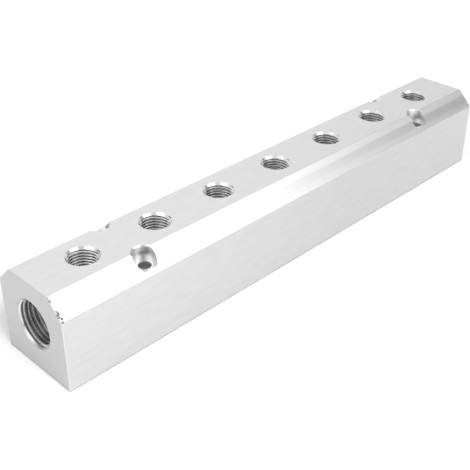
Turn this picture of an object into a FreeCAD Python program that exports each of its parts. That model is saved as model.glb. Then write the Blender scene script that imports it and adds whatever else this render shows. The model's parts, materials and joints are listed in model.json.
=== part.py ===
"""Air manifold block, millimetres, +Z up.

One solid aluminium bar with two chamfered top edges. A gallery runs along it from end to end, with a
tapped inlet at each end, and a row of tapped outlet ports on the top face opens down into it. Four
counterbored mounting holes go down through the chamfers, clear of the gallery on both sides.

The origin is the centre of the flat underside. X runs along the bar, and the outlets open along +Z.
Tapped holes are modelled at their thread's minor diameter, as a drawing shows them.
"""

import FreeCAD
import Part
import math
import os

# Bar section
bar_width = 40.0
bar_height = 40.0
chamfer_leg = 7.6          # each leg of the 45 degree chamfer along both top edges
long_edge_radius = 0.35    # corner radius of the drawn bar
end_edge_break = 0.3       # deburring chamfer round both sawn and milled ends

# Outlet ports, 1/4 inch parallel pipe thread
port_count = 7
port_pitch = 36.0
end_margin = 25.0          # from each end of the bar to the nearest port's axis
port_minor_diameter = 11.445
port_mouth_diameter = 13.8
port_countersink_angle = 90.0

# Inlets, 1/2 inch parallel pipe thread, one at each end
inlet_minor_diameter = 18.631
inlet_mouth_diameter = 21.5
inlet_countersink_angle = 90.0
inlet_depth = 18.0         # full diameter, before the drill's cone
gallery_diameter = 15.0
gallery_height = 21.0      # axis above the underside, a little over half the height
drill_point_angle = 118.0

# Mounting holes for M5 socket head screws
mounting_row_spacing = 29.0
mounting_hole_diameter = 5.5
counterbore_diameter = 10.0
counterbore_depth = 6.0    # below the top face
counterbore_break = 0.5    # 45 degree break of the counterbore's mouth
mounting_hole_break = 0.3  # deburring at the underside

# Worked out from the sizes above
bar_length = 2 * end_margin + (port_count - 1) * port_pitch
first_port_x = -(port_count - 1) * port_pitch / 2
mounting_x = -first_port_x - port_pitch / 2   # midway between the last two ports
overrun = 1.0              # how far a cutting tool starts outside the bar

X_AXIS = FreeCAD.Vector(1, 0, 0)
Z_AXIS = FreeCAD.Vector(0, 0, 1)


def bar():
    """The drawn bar: its section extruded along X, with the ends' edges broken."""
    half = bar_width / 2
    shoulder = bar_height - chamfer_leg
    outline = [
        (-half, 0),
        (half, 0),
        (half, shoulder),
        (half - chamfer_leg, bar_height),
        (-half + chamfer_leg, bar_height),
        (-half, shoulder),
    ]
    points = [FreeCAD.Vector(-bar_length / 2, y, z) for y, z in outline]
    section = Part.Face(Part.makePolygon(points + points[:1]))
    blank = section.extrude(X_AXIS * bar_length)
    lengthways = [e for e in blank.Edges if runs_along_x(e)]
    rounded = blank.makeFillet(long_edge_radius, lengthways)
    ends = [f for f in rounded.Faces if is_end_face(f)]
    rim = [e for f in ends for e in f.Edges]
    return rounded.makeChamfer(end_edge_break, rim)


def runs_along_x(edge):
    first, last = edge.Vertexes[0].Point, edge.Vertexes[-1].Point
    return abs(abs(last.x - first.x) - bar_length) < 1e-6


def is_end_face(face):
    box = face.BoundBox
    return box.XLength < 1e-6 and abs(abs(box.XMin) - bar_length / 2) < 1e-6


def stepped_tool(steps, axis_point, direction):
    """A turned cutting tool. steps is a list of (depth, radius) from outside the bar inwards."""
    points = [FreeCAD.Vector(0, 0, -steps[0][0])]
    points += [FreeCAD.Vector(radius, 0, -depth) for depth, radius in steps]
    if steps[-1][1] > 0:
        points.append(FreeCAD.Vector(0, 0, -steps[-1][0]))
    profile = Part.Face(Part.makePolygon(points + points[:1]))
    tool = profile.revolve(FreeCAD.Vector(0, 0, 0), Z_AXIS, 360)
    tool.Placement = FreeCAD.Placement(axis_point, FreeCAD.Rotation(Z_AXIS, direction))
    return tool


def countersunk(mouth_diameter, hole_diameter, angle):
    """(depth, radius) steps of a countersink at the surface, down to the hole's own radius."""
    slope = math.tan(math.radians(angle / 2))
    mouth, hole = mouth_diameter / 2, hole_diameter / 2
    return [(-overrun, mouth + overrun * slope), ((mouth - hole) / slope, hole)]


def drill_point(radius):
    return radius / math.tan(math.radians(drill_point_angle / 2))


def outlet_ports():
    """Tapped holes from the top face, each ending in the gallery on its axis."""
    radius = port_minor_diameter / 2
    depth = bar_height - gallery_height
    steps = countersunk(port_mouth_diameter, port_minor_diameter, port_countersink_angle)
    steps += [(depth, radius), (depth + drill_point(radius), 0)]
    tools = []
    for index in range(port_count):
        top = FreeCAD.Vector(first_port_x + index * port_pitch, 0, bar_height)
        tools.append(stepped_tool(steps, top, Z_AXIS))
    return tools


def inlets():
    """Tapped holes in both end faces, each ending in its drill's cone."""
    radius = inlet_minor_diameter / 2
    steps = countersunk(inlet_mouth_diameter, inlet_minor_diameter, inlet_countersink_angle)
    steps += [(inlet_depth, radius), (inlet_depth + drill_point(radius), 0)]
    tools = []
    for side in (-1, 1):
        mouth = FreeCAD.Vector(side * bar_length / 2, 0, gallery_height)
        tools.append(stepped_tool(steps, mouth, X_AXIS * side))
    return tools


def gallery():
    """The bore that joins the inlets and feeds every port."""
    start = FreeCAD.Vector(-bar_length / 2 - overrun, 0, gallery_height)
    return Part.makeCylinder(gallery_diameter / 2, bar_length + 2 * overrun, start, X_AXIS)


def mounting_holes():
    """Counterbored through holes that break out of the chamfers, with both their mouths broken."""
    hole, head = mounting_hole_diameter / 2, counterbore_diameter / 2
    steps = [
        (-overrun, head + counterbore_break + overrun),
        (counterbore_break, head),
        (counterbore_depth, head),
        (counterbore_depth, hole),
        (bar_height - mounting_hole_break, hole),
        (bar_height + overrun, hole + mounting_hole_break + overrun),
    ]
    tools = []
    for x in (-mounting_x, mounting_x):
        for y in (-mounting_row_spacing / 2, mounting_row_spacing / 2):
            tools.append(stepped_tool(steps, FreeCAD.Vector(x, y, bar_height), Z_AXIS))
    return tools


def manifold_block():
    tools = outlet_ports() + inlets() + [gallery()] + mounting_holes()
    return bar().cut(tools)


block = manifold_block()
if not block.isValid() or len(block.Solids) != 1:
    raise ValueError("the block has to be one valid solid")
os.makedirs("parts", exist_ok=True)
block.Solids[0].exportStep("parts/manifold_block.step")
print("manifold_block", round(block.Volume, 1), "mm3", len(block.Faces), "faces", block.BoundBox)
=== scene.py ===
import json
import math
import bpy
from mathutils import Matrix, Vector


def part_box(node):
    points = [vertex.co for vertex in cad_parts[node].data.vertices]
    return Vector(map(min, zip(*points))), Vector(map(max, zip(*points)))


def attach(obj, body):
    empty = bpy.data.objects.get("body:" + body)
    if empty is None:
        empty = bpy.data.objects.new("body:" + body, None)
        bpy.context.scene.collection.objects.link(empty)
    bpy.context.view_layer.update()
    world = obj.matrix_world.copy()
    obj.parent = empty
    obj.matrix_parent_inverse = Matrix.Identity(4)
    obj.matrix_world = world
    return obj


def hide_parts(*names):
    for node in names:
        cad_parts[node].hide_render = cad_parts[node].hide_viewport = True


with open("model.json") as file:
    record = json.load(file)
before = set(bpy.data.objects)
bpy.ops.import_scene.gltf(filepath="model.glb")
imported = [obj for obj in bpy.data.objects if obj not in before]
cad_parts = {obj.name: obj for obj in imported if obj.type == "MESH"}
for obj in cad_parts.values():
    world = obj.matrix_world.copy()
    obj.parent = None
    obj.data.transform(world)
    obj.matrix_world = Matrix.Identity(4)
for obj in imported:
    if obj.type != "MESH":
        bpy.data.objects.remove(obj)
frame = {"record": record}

from types import SimpleNamespace

import bmesh
import bpy
from mathutils import Matrix, Vector, noise

MM = 0.001
INCH = 25.4 * MM
TURN = 2 * math.pi
X_AXIS, Y_AXIS, Z_AXIS = Vector((1, 0, 0)), Vector((0, 1, 0)), Vector((0, 0, 1))

# The block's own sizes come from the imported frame
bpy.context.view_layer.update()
_, block_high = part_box("manifold_block")
mounts = {mount["name"]: mount for mount in frame["record"]["mounts"]}
mounting = mounts["mounting_holes"]
half_length = block_high.x
half_width = block_high.y
top = block_high.z
gallery_height = mounts["inlet_left"]["pos_m"][2]
counterbore_floor = mounting["pos_m"][2]
mounting_hole_radius = mounting["dims"]["hole_r_mm"] * MM
mounting_half_x = mounting["dims"]["spacing_x_mm"] * MM / 2
mounting_half_y = mounting["dims"]["spacing_y_mm"] * MM / 2

# Forms that the frame doesn't state
chamfer_leg = 7.6 * MM
long_edge_radius = 0.35 * MM
end_edge_radius = 0.3 * MM
gallery_radius = 7.5 * MM
counterbore_radius = 5 * MM
counterbore_break = 0.5 * MM
underside_break = 0.3 * MM
drill_point_slope = math.tan(math.radians(59))
drill_tip_share = 0.02           # of the hole's radius, where a cutter's cone ends
drill_oversize = 0.06 * MM       # the tap drill, over the thread's minor radius
overrun = 1 * MM                 # how far a cutter starts outside the block
gallery_segments = 96
mounting_segments = 72
crease_angle = math.radians(38)

# Tapped holes: 1/4 inch parallel pipe threads in the outlets, and 1/2 inch ones in the inlets
ports = SimpleNamespace(
    prefix="outlet",
    minor_radius=mounts["outlet_1"]["dims"]["r_mm"] * MM,
    mouth_radius=6.9 * MM,
    drilled_depth=top - gallery_height,
    dull_rim_share=0,            # of the countersink, the outer part that takes the end face's darker, painted-shade finish
    pitch=INCH / 19,
    phase=0.17,                  # where the groove starts, as a share of the pitch
    thread_depth=12.5 * MM,      # how far the tap went in
    bore_segments=96,
    thread_segments=64,
)
inlets = SimpleNamespace(
    prefix="inlet",
    minor_radius=mounts["inlet_left"]["dims"]["r_mm"] * MM,
    mouth_radius=10.75 * MM,
    drilled_depth=18 * MM,       # before the drill's cone
    dull_rim_share=0.42,
    pitch=INCH / 14,
    phase=0.88,
    thread_depth=15 * MM,
    bore_segments=128,
    thread_segments=96,
)

# Thread form, 55 degrees and rounded, as shares of the pitch
thread_height_share = 0.6403
form_radius = 0.1373
form_arc_turn = math.pi / 2 - math.radians(55 / 2)
crest_share = 0.6                # of the form's radius, how far down from the crest the painted highlight reaches

# The tap
tap_lead_turns = 2.0             # turns over which its lead fades the thread out
tap_outside_turns = 3            # turns that the cutter starts outside the mouth
tap_core_clearance = 0.4 * MM    # from the cutter's core to the thread's minor radius

# Nicks along the near end's front chamfer edge: share of the edge from its top corner, distance
# along the bar from the end face, and radius, both in millimetres
nicks = (
    (0.05, 0.30, 0.36),
    (0.12, 0.10, 0.38),
    (0.19, 0.35, 0.42),
    (0.57, 0.55, 0.42),
    (0.66, 0.85, 0.80),
    (0.73, 0.10, 0.70),
    (0.80, 0.45, 0.50),
    (0.87, 1.15, 0.60),
    (0.98, 0.70, 0.55),
)
nick_subdivisions = 3
nick_lump_scale = 1.6            # cycles of noise over a nick's radius
nick_lump_height = 0.7           # as a share of the radius
nick_seed_step = 7.3             # how far apart the nicks lie in the noise
nicked_length = 1.8 * MM         # no nick goes further along the bar
nicked_depth = 1 * MM            # nor further from the chamfer's plane

# How near a face's middle has to lie to a surface to belong to it
skin_depth = 0.02 * MM           # what lies deeper than this is inside a hole
flat_tolerance = 0.001 * MM
foot_tolerance = 0.005 * MM
plane_tolerance = 0.01 * MM
cone_tolerance = 0.03 * MM
end_face_depth = 0.1 * end_edge_radius
side_normal_limit = 0.02         # a face of the drawn bar turns less than this towards its ends
end_normal_limit = 0.999         # and a face of its end more than this

# Noise in the finishes, and the part of its range that they use
noise_detail = 2.0
noise_roughness = 0.55
noise_range = (0.3, 0.7)

# The bar's skin: noise in cycles a metre along X, Y and Z, and the height of its bump
skin_layers = (
    ((110, 450, 450), 0.003 * MM),
    ((60, 1500, 1500), 0.0015 * MM),
    ((25, 80, 80), 0.004 * MM),
)

# Lengthwise bands of painted reflection on the chamfers: share of the width from the top edge, and shade
bands = ((0.0, 0.9), (0.03, 1.04), (0.3, 1.03), (0.37, 0.95), (0.64, 0.95), (0.74, 0.99), (0.97, 0.99))
band_polish = 2.0                # a darker band is also more polished, by this power of its shade
curve_range = 2.0                # a curve node stops at 1, so it holds the shades divided by this

# The near back counterbore's wall is dark with painted shade, from the top face's side to this far behind
# its axis
painted_shade_reach = 1.1 * MM

# The colour sockets of a Mix node, which share their names with its other sockets
mix_first, mix_second, mix_result = 6, 7, 2

# Floor and world. The floor's glow rises in two steps with the distance from a point: each step is
# the distances where it starts and ends, and the strength at both
floor_size = 6.0
floor_drop = 0.02 * MM
floor_grey = 0.9                 # as diffuse light sees it
floor_seen_grey = 0.7            # as the camera and the metal see it, under the glow
glow_centre = (-0.04, -0.15, 0)
glow_steps = ((0.14, 0.38, 0.08, 0.5), (0.6, 1.4, 0.0, 0.5))
world_fill = 0.56

# Lamps and cards face the middle of the block's top from this far away
studio_centre = Vector((0, 0, top))
studio_radius = 1.3

# Softboxes: name, azimuth and elevation as towards takes them, width, height and watts
softboxes = (
    ("right_softbox", 24, 46, 0.92, 0.62, 3.2),
    ("left_softbox", -91, 39, 0.9, 0.9, 3.6),
)

# The key, a square lamp that the metal doesn't mirror, so that it lights the floor alone
key_place = Vector((-0.15, -0.3, 0.34))
key_target = Vector((-0.11, -0.07, 0))
key_size = 0.22
key_watts = 2.1

# Grey cards: name, azimuth, elevation, width, height, and brightness at the lower and higher azimuth
cards = (
    ("dark_card", -30, 22, 0.5, 0.9, 0.2, 0.2),
    ("upper_card", -38, 50, 0.7, 0.5, 0.74, 0.74),
    ("back_left_card", -147, 9, 0.85, 0.75, 0.2, 0.2),
    ("low_left_card", -62, 6, 0.5, 0.25, 0.35, 0.35),
    ("side_ramp", 60, 24, 0.32, 1.25, 1.0, 0.25),
    ("side_dark_card", 72, 24, 0.24, 1.25, 0.2, 0.25),
    ("side_card", 94, 36, 0.8, 0.35, 0.4, 0.5),
    ("side_low_card", 94, 3, 0.8, 0.5, 0.85, 0.9),
    ("back_right_card", 126, 24, 0.65, 0.75, 0.82, 1.0),
)

# Camera, as the photograph's vanishing lines give it
camera_azimuth = -45.205         # degrees, as towards takes them
camera_elevation = 32.283
camera_roll = 0.002              # radians
camera_distance = 412.505 * MM
camera_right_offset = -18.397 * MM
camera_up_offset = 0.867 * MM
camera_focal_pixels = 861.607
camera_clip_start = 10 * MM
frame_pixels = 470
sensor_width = 36.0


def add_object(name, data):
    """A new object in the scene."""
    made = bpy.data.objects.new(name, data)
    bpy.context.scene.collection.objects.link(made)
    return made


# The block's shape


def mesh_object(name, vertices, faces):
    """A closed solid, with its faces turned outwards."""
    mesh = bpy.data.meshes.new(name)
    mesh.from_pydata([tuple(v) for v in vertices], [], faces)
    turned = bmesh.new()
    turned.from_mesh(mesh)
    bmesh.ops.recalc_face_normals(turned, faces=turned.faces)
    turned.to_mesh(mesh)
    turned.free()
    return add_object(name, mesh)


def quad(near, far, index, count):
    """The face between two rings of vertices, given the number of each ring's first vertex."""
    following = (index + 1) % count
    return near + index, near + following, far + following, far + index


def rounded_section(inset):
    """The bar's outline in Y and Z with small rounded corners, drawn inset from its full size."""
    shoulder = top - chamfer_leg
    corners = [
        Vector((-half_width, 0)),
        Vector((half_width, 0)),
        Vector((half_width, shoulder)),
        Vector((half_width - chamfer_leg, top)),
        Vector((-half_width + chamfer_leg, top)),
        Vector((-half_width, shoulder)),
    ]
    arc_steps = 5
    points = []
    for index, corner in enumerate(corners):
        before = (corners[index - 1] - corner).normalized()
        after = (corners[(index + 1) % len(corners)] - corner).normalized()
        bisector = (before + after).normalized()
        half_angle = before.angle(after) / 2
        centre = corner + bisector * (long_edge_radius / math.sin(half_angle))
        sweep = math.pi - 2 * half_angle
        outward = math.atan2(-bisector.y, -bisector.x)
        for step in range(arc_steps + 1):
            angle = outward + sweep * (step / arc_steps - 0.5)
            radius = long_edge_radius - inset
            points.append(centre + radius * Vector((math.cos(angle), math.sin(angle))))
    return points


def bar():
    """The drawn bar with softly broken end edges."""
    edge_steps = 4
    rings = []
    for step in range(edge_steps + 1):
        angle = math.pi / 2 * step / edge_steps
        inset = end_edge_radius * (1 - math.sin(angle))
        setback = end_edge_radius * (1 - math.cos(angle))
        rings.append((-half_length + setback, inset))
    rings += [(-x, inset) for x, inset in reversed(rings)]
    vertices = []
    for x, inset in rings:
        vertices += [Vector((x, p.x, p.y)) for p in rounded_section(inset)]
    count = len(rounded_section(0))
    faces = [tuple(range(count)), tuple(range((len(rings) - 1) * count, len(rings) * count))]
    for ring in range(len(rings) - 1):
        for index in range(count):
            faces.append(quad(ring * count, (ring + 1) * count, index, count))
    return mesh_object("bar", vertices, faces)


def axes_from(inwards):
    """Two unit vectors that make a right-handed set with the inward direction of a hole."""
    across = Y_AXIS if abs(inwards.x) > 0.5 else X_AXIS
    return across, inwards.cross(across)


def turned_cutter(steps, mouth, inwards, segments):
    """A closed turned solid. steps lists (depth, radius) from outside the block inwards."""
    across, other = axes_from(inwards)
    vertices = [mouth + inwards * steps[0][0], mouth + inwards * steps[-1][0]]
    for depth, radius in steps:
        for index in range(segments):
            angle = TURN * index / segments
            spoke = across * math.cos(angle) + other * math.sin(angle)
            vertices.append(mouth + inwards * depth + spoke * radius)
    first_ring = 2                   # after the middles of the two ends
    last_ring = first_ring + (len(steps) - 1) * segments
    faces = []
    for index in range(segments):
        following = (index + 1) % segments
        faces.append((0, first_ring + index, first_ring + following))
        faces.append((1, last_ring + index, last_ring + following))
        for near in range(first_ring, last_ring, segments):
            faces.append(quad(near, near + segments, index, segments))
    return mesh_object("turned_cutter", vertices, faces)


def thread_form():
    """The form from the middle of one groove to the next: (share of the pitch, rise towards the axis)."""
    rising = []
    for turn in (0, form_arc_turn / 2, form_arc_turn):
        rising.append((form_radius * math.sin(turn), form_radius * (1 - math.cos(turn))))
    rising += [(0.5 - along, thread_height_share - rise) for along, rise in reversed(rising)]
    falling = [(1 - along, rise) for along, rise in reversed(rising[1:-1])]
    return rising + falling


def thread_cutter(kind, mouth, inwards):
    """A closed solid of the tap's swept form, from just outside the mouth to the end of its lead."""
    across, other = axes_from(inwards)
    form = thread_form()
    rows = len(form)
    pitch = kind.pitch
    segments = kind.thread_segments
    major_radius = kind.minor_radius + thread_height_share * pitch
    core_radius = kind.minor_radius - tap_core_clearance
    lead = tap_lead_turns * pitch
    start = (kind.phase - tap_outside_turns) * pitch
    turns = math.ceil((kind.thread_depth - start) / pitch)
    steps = turns * segments
    vertices, place = [], {}

    def add(step, row):
        share, rise = form[row]
        angle = TURN * step / segments
        along = start + pitch * (step / segments + share)
        in_lead = max(0, along - kind.thread_depth + lead) / lead
        cone = major_radius - (major_radius - core_radius) * in_lead
        radius = max(min(major_radius - rise * pitch, cone), core_radius)
        spoke = across * math.cos(angle) + other * math.sin(angle)
        place[step, row] = len(vertices)
        vertices.append(mouth + inwards * along + spoke * radius)

    for step in range(steps + 1):
        for row in range(rows):
            add(step, row)
    for step in range(steps + 1, steps + segments + 1):
        add(step, 0)

    def at(step, row):
        """The vertex there. The row after a turn's last is the next turn's first."""
        return place[step, row] if row < rows else place[step + segments, 0]

    faces = []
    for step in range(steps):
        for row in range(rows):
            faces.append((at(step, row), at(step + 1, row), at(step + 1, row + 1), at(step, row + 1)))
    outer_end = [at(step, 0) for step in range(segments + 1)]
    outer_end += [at(0, row) for row in range(rows - 1, 0, -1)]
    inner_end = [at(steps, row) for row in range(rows)]
    inner_end += [at(step, 0) for step in range(steps + segments, steps, -1)]
    for loop, along in ((outer_end, start), (inner_end, start + pitch * (turns + 0.5))):
        centre = len(vertices)
        vertices.append(mouth + inwards * along)
        for index, corner in enumerate(loop):
            faces.append((centre, corner, loop[(index + 1) % len(loop)]))
    return mesh_object("thread_cutter", vertices, faces)


def join(pieces):
    """One object from several that don't touch."""
    joined = bmesh.new()
    for piece in pieces:
        joined.from_mesh(piece.data)
    joined.to_mesh(pieces[0].data)
    joined.free()
    for piece in pieces[1:]:
        bpy.data.objects.remove(piece)
    return pieces[0]


def subtract(body, cutters):
    """Cuts the cutters, which don't touch each other, out of the body."""
    tool = join(cutters)
    modifier = body.modifiers.new("cut", "BOOLEAN")
    modifier.operation = "DIFFERENCE"
    modifier.solver = "MANIFOLD"
    modifier.object = tool
    graph = bpy.context.evaluated_depsgraph_get()
    cut = bpy.data.meshes.new_from_object(body.evaluated_get(graph))
    body.modifiers.clear()
    body.data = cut
    bpy.data.objects.remove(tool)


def mouths(kind):
    """Where the axis of each such tapped hole leaves the block, and the direction into the hole."""
    found = []
    for name in sorted(mounts):
        if name.startswith(kind.prefix):
            outwards = Vector(mounts[name]["axis"])
            mouth = Vector(mounts[name]["pos_m"])
            if abs(outwards.x) > 0.5:
                mouth.x = outwards.x * half_length
            else:
                mouth.z = top
            found.append((mouth, -outwards))
    return found


def mounting_centres():
    """Where the mounting holes' axes leave the top."""
    places = []
    for x in (-mounting_half_x, mounting_half_x):
        for y in (-mounting_half_y, mounting_half_y):
            places.append(Vector((x, y, top)))
    return places


def tapped_steps(kind):
    """A countersunk drilled hole with the drill's cone at its end."""
    radius = kind.minor_radius + drill_oversize
    cone = (1 - drill_tip_share) * radius / drill_point_slope
    steps = [
        (-overrun, kind.mouth_radius + overrun),
        (kind.mouth_radius - radius, radius),
        (kind.drilled_depth, radius),
        (kind.drilled_depth + cone, drill_tip_share * radius),
    ]
    if kind.dull_rim_share:
        rim = kind.dull_rim_share * (kind.mouth_radius - radius)
        steps.insert(1, (rim, kind.mouth_radius - rim))
    return steps


def mounting_steps():
    """A counterbored through hole with both its mouths broken."""
    return [
        (-overrun, counterbore_radius + counterbore_break + overrun),
        (counterbore_break, counterbore_radius),
        (top - counterbore_floor, counterbore_radius),
        (top - counterbore_floor, mounting_hole_radius),
        (top - underside_break, mounting_hole_radius),
        (top + overrun, mounting_hole_radius + underside_break + overrun),
    ]


def drill(block):
    """Gallery, tapped holes and mounting holes."""
    start = Vector((-half_length, 0, gallery_height))
    through = [(-overrun, gallery_radius), (2 * half_length + overrun, gallery_radius)]
    subtract(block, [turned_cutter(through, start, X_AXIS, gallery_segments)])
    cutters = []
    for kind in (ports, inlets):
        for mouth, inwards in mouths(kind):
            cutters.append(turned_cutter(tapped_steps(kind), mouth, inwards, kind.bore_segments))
    for centre in mounting_centres():
        cutters.append(turned_cutter(mounting_steps(), centre, -Z_AXIS, mounting_segments))
    subtract(block, cutters)


def tap(block):
    """Cuts the threads in."""
    cutters = []
    for kind in (ports, inlets):
        for mouth, inwards in mouths(kind):
            cutters.append(thread_cutter(kind, mouth, inwards))
    subtract(block, cutters)


def nick_cutter(share, setback, radius, seed):
    """A small lumpy ball on the edge between the end face and the front chamfer."""
    high = Vector((0, -half_width + chamfer_leg, top))
    low = Vector((0, -half_width, top - chamfer_leg))
    centre = high.lerp(low, share)
    centre.x = -half_length + setback * MM
    ball = bmesh.new()
    bmesh.ops.create_icosphere(ball, subdivisions=nick_subdivisions, radius=1)
    for vertex in ball.verts:
        lump = noise.noise(vertex.co * nick_lump_scale + Vector((seed * nick_seed_step, 0, 0)))
        vertex.co = centre + vertex.co * radius * MM * (1 + nick_lump_height * lump)
    mesh = bpy.data.meshes.new("nick_cutter")
    ball.to_mesh(mesh)
    ball.free()
    return add_object("nick_cutter", mesh)


def wear(block):
    """Knocks the nicks out of the edge, one at a time, because neighbours can overlap."""
    for seed, (share, setback, radius) in enumerate(nicks):
        subtract(block, [nick_cutter(share, setback, radius, seed)])


# Materials


def grey_colour(grey):
    """The same share in all three channels, and opaque."""
    return grey, grey, grey, 1


def node(tree, kind, **inputs):
    """A shader node with its properties and inputs set by name."""
    made = tree.nodes.new(kind)
    for name, value in inputs.items():
        if name in made.inputs:
            made.inputs[name].default_value = value
        else:
            setattr(made, name, value)
    return made


def calculate(tree, operation, *values):
    """A Math node's result, from plain numbers or other nodes' results."""
    made = node(tree, "ShaderNodeMath", operation=operation)
    for socket, value in zip(made.inputs, values):
        if isinstance(value, float):
            socket.default_value = value
        else:
            tree.links.new(value, socket)
    return made.outputs[0]


def map_range(tree, value, from_low, from_high, to_low, to_high):
    """A value moved from one range onto another, and kept within it."""
    made = tree.nodes.new("ShaderNodeMapRange")
    for index, number in enumerate((from_low, from_high, to_low, to_high)):
        made.inputs[index + 1].default_value = number
    tree.links.new(value, made.inputs[0])
    return made.outputs[0]


def stretched_noise(tree, scale):
    """Noise in the block's own coordinates, with a scale for each axis in cycles a metre."""
    place = tree.nodes.new("ShaderNodeTexCoord")
    mapping = node(tree, "ShaderNodeMapping", Scale=scale)
    grain = node(tree, "ShaderNodeTexNoise", Scale=1.0, Detail=noise_detail, Roughness=noise_roughness)
    tree.links.new(place.outputs["Object"], mapping.inputs["Vector"])
    tree.links.new(mapping.outputs["Vector"], grain.inputs["Vector"])
    return grain.outputs["Fac"]


def bump(tree, height, distance, below):
    """A bump layer, on top of the one below."""
    made = node(tree, "ShaderNodeBump", Strength=1.0, Distance=distance)
    tree.links.new(height, made.inputs["Height"])
    if below:
        tree.links.new(below, made.inputs["Normal"])
    return made.outputs["Normal"]


def painted_reflection_bands(tree):
    """The shade of the painted reflection bands at each point of a chamfer."""
    place = tree.nodes.new("ShaderNodeTexCoord")
    split = tree.nodes.new("ShaderNodeSeparateXYZ")
    tree.links.new(place.outputs["Object"], split.inputs[0])
    side = calculate(tree, "ABSOLUTE", split.outputs["Y"])
    across = calculate(tree, "SUBTRACT", split.outputs["Z"], side)
    highest = top - half_width + chamfer_leg
    share = map_range(tree, across, highest, highest - 2 * chamfer_leg, 0, 1)
    profile = tree.nodes.new("ShaderNodeFloatCurve")
    curve = profile.mapping.curves[0]
    ready = len(curve.points)
    for index, (at, shade) in enumerate(bands):
        height = shade / curve_range
        point = curve.points[index] if index < ready else curve.points.new(at, height)
        point.location = (at, height)
        point.handle_type = "VECTOR"
    profile.mapping.update()
    tree.links.new(share, profile.inputs["Value"])
    return calculate(tree, "MULTIPLY", profile.outputs[0], curve_range)


def metal(name, layers, grey, shades, rough, banded=False):
    """A metal finish. Each layer is noise, in cycles a metre along X, Y and Z, and its bump's height.

    The first two layers together move the grey between two shares of itself, and the roughness
    between two values. The painted reflection bands, where the finish has them, scale both.
    """
    material = bpy.data.materials.new(name)
    material.use_nodes = True
    tree = material.node_tree
    shader = tree.nodes["Principled BSDF"]
    shader.inputs["Metallic"].default_value = 1.0
    grains = [stretched_noise(tree, scale) for scale, _ in layers]
    mixed = calculate(tree, "MULTIPLY", calculate(tree, "ADD", grains[0], grains[1]), 0.5)
    shade = map_range(tree, mixed, *noise_range, *shades)
    roughness = map_range(tree, mixed, *noise_range, *rough)
    if banded:
        # Painted reflection: lengthwise bands that lighten and darken the chamfer
        band = painted_reflection_bands(tree)
        shade = calculate(tree, "MULTIPLY", shade, band)
        roughness = calculate(tree, "MULTIPLY", roughness, calculate(tree, "POWER", band, band_polish))
    tint = node(tree, "ShaderNodeMix", data_type="RGBA", blend_type="MULTIPLY")
    tint.inputs["Factor"].default_value = 1.0
    tint.inputs[mix_first].default_value = grey_colour(grey)
    tree.links.new(shade, tint.inputs[mix_second])
    tree.links.new(tint.outputs[mix_result], shader.inputs["Base Color"])
    tree.links.new(roughness, shader.inputs["Roughness"])
    normal = None
    for grain, (_, height) in zip(grains, layers):
        if height:
            normal = bump(tree, grain, height, normal)
    if normal:
        tree.links.new(normal, shader.inputs["Normal"])
    return material


def drawn():
    """The bar's own skin: short streaks along it, over fine lines."""
    return metal("drawn", skin_layers, grey=0.775, shades=(0.95, 1.04), rough=(0.3, 0.4))


def drawn_side_shaded():
    """The front and back: the top's skin, darkened as painted shade for the dimmer floor they mirror."""
    return metal("drawn_side_shaded", skin_layers, grey=0.645, shades=(0.94, 1.06), rough=(0.3, 0.4))


def drawn_chamfer():
    """The chamfers carry long bands of painted reflection."""
    layers = (((3, 1300, 1300), 0.004 * MM), ((25, 2400, 2400), 0.002 * MM))
    return metal("drawn_chamfer", layers, grey=0.79, shades=(0.97, 1.03), rough=(0.3, 0.38), banded=True)


def sawn_shaded():
    """The milled ends, with faint upright marks, darkened as painted shade for the shadowed floor they
    mirror.
    """
    layers = (((400, 1500, 160), 0.002 * MM), ((900, 2200, 900), 0.002 * MM))
    return metal("sawn_shaded", layers, grey=0.535, shades=(0.95, 1.04), rough=(0.38, 0.48))


def broken_edge():
    """The deburred end edges, brighter than the faces beside them."""
    layers = (((700, 700, 700), 0), ((2500, 2500, 2500), 0))
    return metal("broken_edge", layers, grey=0.76, shades=(0.92, 1.04), rough=(0.3, 0.4))


def shadowed_lower_edge():
    """The rounded edges that the block stands on, darkened as painted shadow where they meet the floor.
    """
    layers = (((60, 900, 900), 0), ((400, 2400, 2400), 0))
    return metal("shadowed_lower_edge", layers, grey=0.13, shades=(0.8, 1.1), rough=(0.45, 0.55))


def countersunk():
    """The bright cones at the mouths of the tapped holes."""
    layers = (((300, 300, 2500), 0.001 * MM), ((900, 900, 900), 0.0005 * MM))
    return metal("countersunk", layers, grey=0.73, shades=(0.95, 1.04), rough=(0.2, 0.28))


def port_groove():
    """The outlets' threads below their crests, marked round the hole's upright axis."""
    layers = (((120, 120, 3500), 0.0008 * MM), ((80, 80, 900), 0.001 * MM))
    return metal("port_groove", layers, grey=0.76, shades=(0.88, 1.08), rough=(0.13, 0.17))


def inlet_groove_shaded():
    """The inlets' threads below their crests, marked round the hole's level axis, and darker than the
    outlets' as painted shade.
    """
    layers = (((3500, 120, 120), 0.0008 * MM), ((900, 80, 80), 0.001 * MM))
    return metal("inlet_groove_shaded", layers, grey=0.5, shades=(0.88, 1.08), rough=(0.22, 0.3))


def crest():
    """Thread crests, lighter than the grooves as painted highlight."""
    layers = (((900, 900, 900), 0), ((2400, 2400, 2400), 0))
    return metal("crest", layers, grey=0.9, shades=(0.9, 1.05), rough=(0.24, 0.34))


def counterbored():
    """The counterbores' walls, ledges and broken mouths."""
    layers = (((150, 150, 5000), 0.0008 * MM), ((100, 100, 1200), 0.001 * MM))
    return metal("counterbored", layers, grey=0.77, shades=(0.94, 1.04), rough=(0.29, 0.35))


def shaded_wall():
    """Painted shade on part of the near back counterbore's wall, for the shadow it mirrors."""
    layers = (((150, 150, 5000), 0.0015 * MM), ((100, 100, 1200), 0.002 * MM))
    return metal("shaded_wall", layers, grey=0.42, shades=(0.9, 1.06), rough=(0.32, 0.4))


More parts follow.
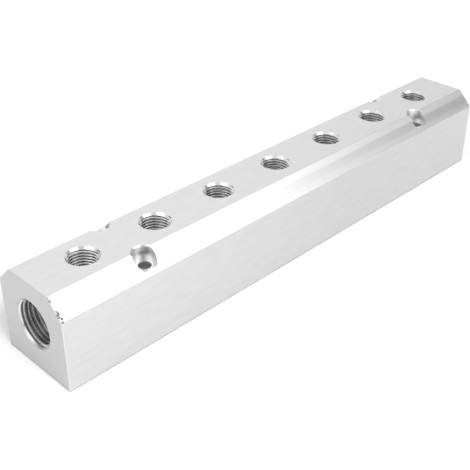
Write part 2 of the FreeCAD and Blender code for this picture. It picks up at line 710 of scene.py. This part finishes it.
def drilled():
    """Rough rings that a twist drill left, brightened past what metal reflects, as painted light inside
    the hole.
    """
    layers = (((30, 30, 700), 0.03 * MM), ((30, 30, 1100), 0.02 * MM))
    return metal("drilled", layers, grey=1.0, shades=(0.35, 1.25), rough=(0.45, 0.55))


def torn():
    """Bare broken metal in the nicks."""
    layers = (((5000, 5000, 5000), 0.02 * MM), ((2000, 2000, 2000), 0.02 * MM))
    return metal("torn", layers, grey=0.5, shades=(0.8, 1.1), rough=(0.4, 0.6))


# Which finish goes where


def nearest(point, places):
    """The smallest distance in plan from a point to any of the places."""
    return min(math.hypot(point.x - place.x, point.y - place.y) for place in places)


def chamfer_depth(point):
    """How far a point lies under the nearer chamfer's plane."""
    return (half_width - abs(point.y) + top - point.z - chamfer_leg) / math.sqrt(2)


def thread_finish(kind, depth, radius, groove):
    """Countersink at the mouth, and below it crest or groove."""
    countersink_depth = kind.mouth_radius - kind.minor_radius
    if depth < countersink_depth and abs(depth + radius - kind.mouth_radius) < cone_tolerance:
        return sawn_shaded if depth < kind.dull_rim_share * countersink_depth else countersunk
    # Crests take the lighter finish, a painted highlight
    return crest if radius < kind.minor_radius + crest_share * form_radius * kind.pitch else groove


def hole_finish(point):
    """The finish of a hole's wall at a point, or nothing outside the holes."""
    from_end = half_length - abs(point.x)
    from_side = half_width - abs(point.y)
    if min(top - point.z, from_side, point.z, from_end, chamfer_depth(point)) < skin_depth:
        return None
    from_hole = nearest(point, mounting_centres())
    if from_hole < mounting_hole_radius + skin_depth:
        return drilled
    if from_hole < counterbore_radius + counterbore_break:
        on_wall = from_hole < counterbore_radius + skin_depth
        # Part of the near back counterbore's wall takes painted shade
        in_painted_shade = point.x < 0 < point.y < mounting_half_y + painted_shade_reach
        return shaded_wall if on_wall and in_painted_shade else counterbored
    from_port = nearest(point, [mouth for mouth, _ in mouths(ports)])
    if from_port < ports.mouth_radius + skin_depth:
        return thread_finish(ports, top - point.z, from_port, port_groove)
    from_inlet = math.hypot(point.y, point.z - gallery_height)
    if from_inlet < inlets.mouth_radius + skin_depth:
        # The inlets' grooves take a darker copy of the outlets' finish, as painted shade
        return thread_finish(inlets, from_end, from_inlet, inlet_groove_shaded)
    return None


def is_torn(point, normal):
    """Whether a face belongs to a nick: near the nicked edge, and turned like neither of its faces."""
    from_near_end = half_length + point.x
    near_edge = from_near_end < nicked_length and point.y < 0 and abs(chamfer_depth(point)) < nicked_depth
    on_side = abs(normal.x) < side_normal_limit
    on_end = normal.x < -end_normal_limit
    on_rounded_edge = from_near_end < end_edge_radius and chamfer_depth(point) < end_edge_radius
    return near_edge and not (on_side or on_end or on_rounded_edge)


def skin_finish(point, normal):
    """The finish of the bar's outside at a point."""
    from_end = half_length - abs(point.x)
    from_side = half_width - abs(point.y)
    on_flat = min(from_end, from_side) < flat_tolerance or point.z < foot_tolerance
    if is_torn(point, normal):
        return torn
    # Painted shadow: the edges the block stands on take a dark finish
    if point.z < long_edge_radius and not on_flat:
        return shadowed_lower_edge
    # Painted shade: the end faces are darker than the bar's skin
    if from_end < end_face_depth:
        return sawn_shaded
    if from_end < end_edge_radius:
        return broken_edge
    if abs(chamfer_depth(point)) < plane_tolerance:
        return drawn_chamfer
    # Painted shade: the front and back take a darker copy of the skin
    if from_side < plane_tolerance:
        return drawn_side_shaded
    return drawn


finishes = (
    drawn, drawn_side_shaded, drawn_chamfer, sawn_shaded, broken_edge, shadowed_lower_edge, countersunk,
    port_groove, inlet_groove_shaded, crest, counterbored, shaded_wall, drilled, torn,
)


def paint(block):
    """Gives each face its finish by where it lies."""
    for finish in finishes:
        block.data.materials.append(finish())
    for face in block.data.polygons:
        finish = hole_finish(face.center) or skin_finish(face.center, face.normal)
        face.material_index = finishes.index(finish)


def smooth(block):
    """Smooth shading with creases, and normals that keep the flat faces flat."""
    for face in block.data.polygons:
        face.use_smooth = True
    block.data.set_sharp_from_angle(angle=crease_angle)
    weighted = block.modifiers.new("flat_faces", "WEIGHTED_NORMAL")
    weighted.keep_sharp = True


def build_block():
    """The whole block, in place of the solid."""
    block = bar()
    block.name = "finished_block"
    drill(block)
    tap(block)
    wear(block)
    block.data.materials.clear()
    paint(block)
    smooth(block)
    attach(block, "root")
    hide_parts("manifold_block")


# Studio and camera


def seen_directly(tree):
    """1 for camera, glossy and transmission rays, and 0 for the rest."""
    path = tree.nodes.new("ShaderNodeLightPath")
    seen = path.outputs["Is Camera Ray"]
    for ray in ("Is Glossy Ray", "Is Transmission Ray"):
        seen = calculate(tree, "MAXIMUM", seen, path.outputs[ray])
    return seen


def bare_material(name):
    """A material with nothing in its node tree but the output, whose surface socket comes with it."""
    material = bpy.data.materials.new(name)
    material.use_nodes = True
    tree = material.node_tree
    tree.nodes.clear()
    out = tree.nodes.new("ShaderNodeOutputMaterial")
    return material, tree, out.inputs["Surface"]


def rectangle(name, width, height, level=0):
    """A flat mesh round the origin."""
    corners = ((-0.5, -0.5), (0.5, -0.5), (0.5, 0.5), (-0.5, 0.5))
    mesh = bpy.data.meshes.new(name)
    mesh.from_pydata([(x * width, y * height, level) for x, y in corners], [], [(0, 1, 2, 3)])
    return mesh


def floor_glow(tree):
    """Light that the floor adds, more of it further from the block."""
    place = tree.nodes.new("ShaderNodeNewGeometry")
    offset = node(tree, "ShaderNodeVectorMath", operation="SUBTRACT")
    offset.inputs[1].default_value = glow_centre
    distance = node(tree, "ShaderNodeVectorMath", operation="LENGTH")
    tree.links.new(place.outputs["Position"], offset.inputs[0])
    tree.links.new(offset.outputs["Vector"], distance.inputs[0])
    rises = [map_range(tree, distance.outputs["Value"], *step) for step in glow_steps]
    glow = node(tree, "ShaderNodeEmission", Color=grey_colour(1))
    tree.links.new(calculate(tree, "ADD", *rises), glow.inputs["Strength"])
    return glow.outputs[0]


def floor_material():
    """White card. Seen directly it glows a little, which keeps it white and its shadows soft."""
    material, tree, surface = bare_material("white_floor")
    card = node(tree, "ShaderNodeBsdfDiffuse", Color=grey_colour(floor_grey))
    seen_card = node(tree, "ShaderNodeBsdfDiffuse", Color=grey_colour(floor_seen_grey))
    glowing = tree.nodes.new("ShaderNodeAddShader")
    mix = tree.nodes.new("ShaderNodeMixShader")
    tree.links.new(seen_card.outputs[0], glowing.inputs[0])
    tree.links.new(floor_glow(tree), glowing.inputs[1])
    tree.links.new(seen_directly(tree), mix.inputs[0])
    tree.links.new(card.outputs[0], mix.inputs[1])
    tree.links.new(glowing.outputs[0], mix.inputs[2])
    tree.links.new(mix.outputs[0], surface)
    return material


def add_floor():
    floor = add_object("floor", rectangle("floor", floor_size, floor_size, -floor_drop))
    floor.data.materials.append(floor_material())


def add_world():
    """White where it is seen directly, and a soft grey fill for the rest."""
    world = bpy.data.worlds.new("studio")
    world.use_nodes = True
    bpy.context.scene.world = world
    tree = world.node_tree
    background = tree.nodes["Background"]
    background.inputs["Color"].default_value = grey_colour(1)
    strength = map_range(tree, seen_directly(tree), 0, 1, world_fill, 1)
    tree.links.new(strength, background.inputs["Strength"])


def towards(azimuth, elevation):
    """The direction at an azimuth, in degrees from -Y towards +X, and an elevation."""
    turn, rise = math.radians(azimuth), math.radians(elevation)
    return Vector((math.sin(turn) * math.cos(rise), -math.cos(turn) * math.cos(rise), math.sin(rise)))


def studio_place(azimuth, elevation):
    return studio_centre + studio_radius * towards(azimuth, elevation)


def aim(made, place, target):
    """Puts a lamp or card at a place, facing the target."""
    made.location = place
    made.rotation_mode = "QUATERNION"
    made.rotation_quaternion = (target - place).to_track_quat("-Z", "Y")


def add_lamp(name, place, target, width, height, watts):
    data = bpy.data.lights.new(name, "AREA")
    data.shape = "RECTANGLE"
    data.size = width
    data.size_y = height
    data.energy = watts
    lamp = add_object(name, data)
    aim(lamp, place, target)
    return lamp


def card_material(name, width, low_side, high_side):
    """A glow that runs across the card from one brightness to the other."""
    material, tree, surface = bare_material(name)
    place = tree.nodes.new("ShaderNodeTexCoord")
    split = tree.nodes.new("ShaderNodeSeparateXYZ")
    tree.links.new(place.outputs["Object"], split.inputs[0])
    strength = map_range(tree, split.outputs["X"], -width / 2, width / 2, low_side, high_side)
    glow = node(tree, "ShaderNodeEmission", Color=grey_colour(1))
    tree.links.new(strength, glow.inputs["Strength"])
    tree.links.new(glow.outputs[0], surface)
    return material


def add_card(name, azimuth, elevation, width, height, low_side, high_side):
    """A grey card that only metal sees."""
    card = add_object(name, rectangle(name, width, height))
    card.data.materials.append(card_material(name, width, low_side, high_side))
    aim(card, studio_place(azimuth, elevation), studio_centre)
    card.visible_camera = False
    card.visible_diffuse = False
    card.visible_shadow = False


def add_lamps():
    """Two softboxes and some grey cards, which the metal mirrors, and the key, which it doesn't."""
    for name, azimuth, elevation, width, height, watts in softboxes:
        add_lamp(name, studio_place(azimuth, elevation), studio_centre, width, height, watts)
    key = add_lamp("key", key_place, key_target, key_size, key_size, key_watts)
    key.visible_glossy = False
    key.visible_camera = False
    for card in cards:
        add_card(*card)


def add_camera():
    back = towards(camera_azimuth, camera_elevation)
    right = Z_AXIS.cross(back).normalized()
    up = back.cross(right)
    place = back * camera_distance + right * camera_right_offset + up * camera_up_offset
    turned_right = right * math.cos(camera_roll) + up * math.sin(camera_roll)
    turned_up = up * math.cos(camera_roll) - right * math.sin(camera_roll)
    data = bpy.data.cameras.new("camera")
    data.sensor_width = sensor_width
    data.lens = camera_focal_pixels / frame_pixels * sensor_width
    data.clip_start = camera_clip_start
    camera = add_object("camera", data)
    axes = Matrix((turned_right, turned_up, back)).transposed()
    camera.matrix_world = Matrix.Translation(place) @ axes.to_4x4()
    bpy.context.scene.camera = camera


add_camera()
build_block()
add_floor()
add_world()
add_lamps()
bpy.context.scene.view_settings.view_transform = "Standard"
